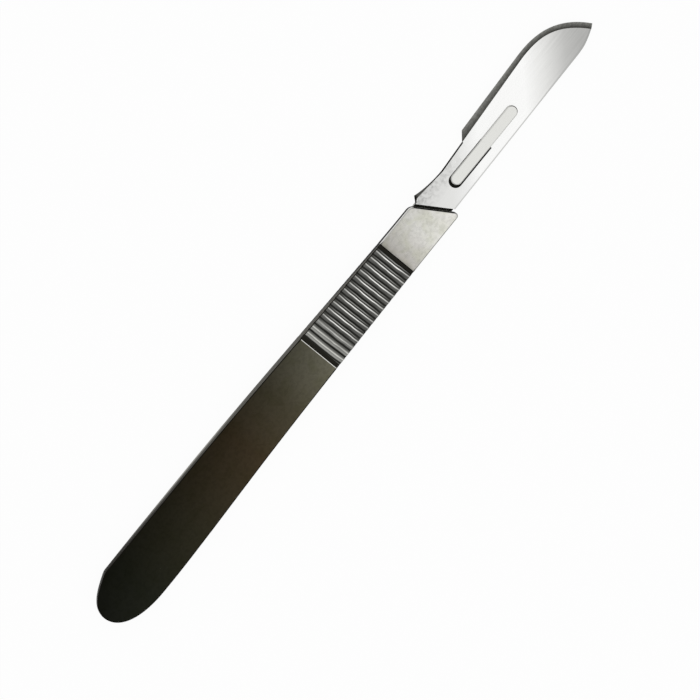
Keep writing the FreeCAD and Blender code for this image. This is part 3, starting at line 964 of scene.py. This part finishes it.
# %% [markdown]
# ## The blade's edges and lines
# The stone leaves two narrow bevels that meet in the cutting edge, darker where they start and
# lighter at the sharp edge, with streaks in them. The spine, the back of the heel and the notch
# were stamped. Their edges are painted as thin lines: the spine's rounded edge as a grey line of
# painted shade, and black lines of painted shade beside the notch, along the heel's slanted end and
# on the heel's back facet. Bevels could be told by their direction alone, but a line on a flat
# strip can't, so each line is drawn by how far a point is from it.

# %% Bevels and lines of the blade
EDGE_STARTS = 76.6 * MM
BLADE_MIDDLE = 2.02 * MM
SPINE_X = (65.1 * MM, 105.5 * MM)
SPINE_Y = (-3.13 * MM, -2.62 * MM)
SPINE_ROUNDING = 0.033 / MM
SPINE_RUN_X = (65 * MM, 113 * MM)
SPINE_WIDENS_X = (92 * MM, 104 * MM)
SPINE_WIDTH = (0.26 * MM, 0.42 * MM)
BACK_X = (69.46 * MM, 76.71 * MM)
BACK_Y = (4.21 * MM, 4.7 * MM)
BACK_RUN_X = (61 * MM, 67 * MM)
NOTCH_LINE = (75.8 * MM, 76.71 * MM)
HEEL_CORNER = (60.73 * MM, 4.05 * MM)
HEEL_SLOPE = (0.754, 0.656)
HEEL_LINE_X = (62.3 * MM, 61.7 * MM)
HEEL_LINE_Y = (4.0 * MM, 4.2 * MM)
SLOT_ENDS = (92 * MM, 91.5 * MM)
# The spine's grey line of painted shade, darker towards the tip.
spine_run = steel_run((0.0, 204, 204, 202), (0.55, 204, 204, 202), (0.8, 182, 182, 180),
                      (1.0, 158, 158, 156))
# The heel's back facet in painted shade, lighter midway.
back_run = steel_run((0.0, 28, 28, 25), (0.14, 30, 30, 27), (0.24, 92, 92, 89), (0.45, 84, 84, 81),
                     (1.0, 32, 32, 29))


def ground_colour(tree, x, z, strokes):
    """The ground strip, darker inside and lighter at the sharp edge, with streaks."""
    off_middle = maths(tree, "ABSOLUTE", less(tree, z, BLADE_MIDDLE))
    inner = blend(tree, spread(tree, x, 90 * MM, 100 * MM), tone(68, 68, 64), tone(54, 54, 50))
    ground = blend(tree, spread(tree, off_middle, 0.2 * MM, 0.03 * MM), inner, tone(130, 130, 126))
    ground = dimmed(tree, ground, spread(tree, strokes, 0.35, 0.65, 0.8, 1.2))
    return dimmed(tree, ground, spread(tree, x, EDGE_STARTS, EDGE_STARTS + 6 * MM, 0.76, 1.0))


def above_spine(tree, x, y):
    """How far a point is from the spine, which runs straight and then rounds up to the tip."""
    straight = spread(tree, x, *SPINE_X, *SPINE_Y)
    past = maths(tree, "MAXIMUM", less(tree, x, SPINE_X[1]), 0.0)
    rise = times(tree, times(tree, past, past), SPINE_ROUNDING)
    return less(tree, y, plus(tree, straight, rise))


def with_spine_line(tree, face, x, y):
    """The spine's rounded edge as a grey line of painted shade, wider and darker towards the tip."""
    width = spread(tree, x, *SPINE_WIDENS_X, *SPINE_WIDTH)
    on_spine = spread(tree, less(tree, above_spine(tree, x, y), width), 0.06 * MM, -0.06 * MM)
    return blend(tree, on_spine, face, ramp(tree, spread(tree, x, *SPINE_RUN_X), spine_run))


def with_heel_lines(tree, face, x, y):
    """The black lines of painted shade beside the notch and along the slanted end of the heel."""
    back = spread(tree, x, *BACK_X, *BACK_Y)
    near_back = spread(tree, less(tree, back, y), 0.26 * MM, 0.22 * MM)
    face = blend(tree, times(tree, band(tree, x, *NOTCH_LINE), near_back), face, tone(32, 32, 29))
    from_corner_x = times(tree, HEEL_SLOPE[0], less(tree, x, HEEL_CORNER[0]))
    from_corner_y = times(tree, HEEL_SLOPE[1], less(tree, y, HEEL_CORNER[1]))
    inside_heel = less(tree, from_corner_x, from_corner_y)
    near_heel = spread(tree, inside_heel, 0.27 * MM, 0.21 * MM)
    on_heel = times(tree, near_heel, spread(tree, x, *HEEL_LINE_X))
    on_heel = times(tree, on_heel, spread(tree, y, *HEEL_LINE_Y))
    return blend(tree, on_heel, face, tone(34, 34, 31))


def blade_rim(tree, x, y, z, facing, strokes):
    """What isn't flat: the ground bevels, the stamped back of the heel in painted shade, and the slot's wall
    in painted light and shade.
    """
    back = ramp(tree, spread(tree, x, *BACK_RUN_X), back_run)
    on_edge = spread(tree, x, EDGE_STARTS - 0.05 * MM, EDGE_STARTS + 0.05 * MM)
    rim = blend(tree, on_edge, back, ground_colour(tree, x, z, strokes))
    around_slot = times(tree, spread(tree, y, 3.0 * MM, 2.8 * MM), spread(tree, x, *SLOT_ENDS))
    # The slot's wall: painted shade where it faces the cutting edge's side, painted light elsewhere.
    slot_wall = blend(tree, spread(tree, facing[1], 0.3, 0.7), tone(176, 176, 173), tone(70, 70, 67))
    return blend(tree, around_slot, rim, slot_wall)


print("cutting edge from", round(EDGE_STARTS / MM, 2), "mm")
print("spine straight to", round(SPINE_X[1] / MM, 2), "mm")

# %% [markdown]
# ## The blade's steel
# The blade is a stamped strip, ground and honed along its edge. Its face is a painted reflection:
# bright and almost as pale as the sheet where it mirrors the white room, and greyer towards the
# tip, where it mirrors something darker. At the heel it is darker and mottled. The run of greys is
# slanted across the strip, as the photographed one is. Fine grain covers the face, and long
# streaks show near the tip.

# %% Blade steel
HEEL = blade_low.x
BLADE_RUN = 56 * MM
# A painted reflection along the blade, in mm from the heel: pale where it mirrors the room, greyer towards
# the tip.
blade_run = steel_run(
    (0, 222, 222, 220), (7, 228, 228, 226), (12, 238, 238, 237), (16, 250, 250, 249), (31, 252, 252, 251),
    (37, 232, 232, 230), (44, 194, 194, 192), (49, 180, 180, 178), (56, 180, 180, 178))


def make_blade_steel():
    material, tree, shader, spot, place, facing = steel_base("blade_steel")
    x, y, z = place
    edges = effect(tree, "edges", Facing=spot["Normal"], Place=spot["Object"],
                   Flat_limit=0.9985, Softness=0.002, Wall_limit=0.35, Breakup=0.0)
    marks = effect(tree, "marks", Place=spot["Object"], Stain_size=0.9 * MM)
    grain = drawn_grain(tree, spot, 2500.0, 9000.0)
    strokes = drawn_grain(tree, spot, 1800.0, 3600.0)
    streaks = drawn_grain(tree, spot, 120.0, 2600.0)

    # The face, a painted reflection, darker and mottled at the heel and streaked near the tip
    face = along(tree, less(tree, x, y), HEEL, HEEL + BLADE_RUN, blade_run)
    near_heel = spread(tree, x, HEEL + 15 * MM, HEEL + 8 * MM)
    heel = times(tree, spread(tree, y, 0.5 * MM, 3.6 * MM), near_heel)
    mottled = times(tree, heel, spread(tree, marks["Stain"], 0.0, 1.0, 0.06, 0.36))
    face = dimmed(tree, face, less(tree, 1.0, mottled))
    face = dimmed(tree, face, from_noise(tree, grain, 0.975, 1.02))
    toward_tip = spread(tree, x, 92 * MM, 106 * MM, 0.01, 0.05)
    streaked = times(tree, toward_tip, from_noise(tree, streaks, -1.0, 1.0))
    face = dimmed(tree, face, plus(tree, 1.0, streaked))

    # Its lines and its bevels
    face = with_heel_lines(tree, with_spine_line(tree, face, x, y), x, y)
    colour = blend(tree, edges["Rim"], face, blade_rim(tree, x, y, z, facing, strokes))
    finish_surface(tree, shader, colour, grain, (0.28, 0.4), 0.1, 0.003 * MM)
    print("blade steel", len(tree.nodes), "nodes")
    return material


# %% [markdown]
# ## Dress the two pieces
# The handle is made anew from the solid's ends and the milled grip, and takes its own steel. The
# blade could be made again too, but its slot, heel and bevels already have their true form in the
# solid, so it keeps that mesh and only takes its steel.

# %% Handle and blade
make_handle(make_handle_steel())
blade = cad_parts["blade"]
blade.data.materials.clear()
blade.data.materials.append(make_blade_steel())
print("blade", len(blade.data.polygons), "faces")
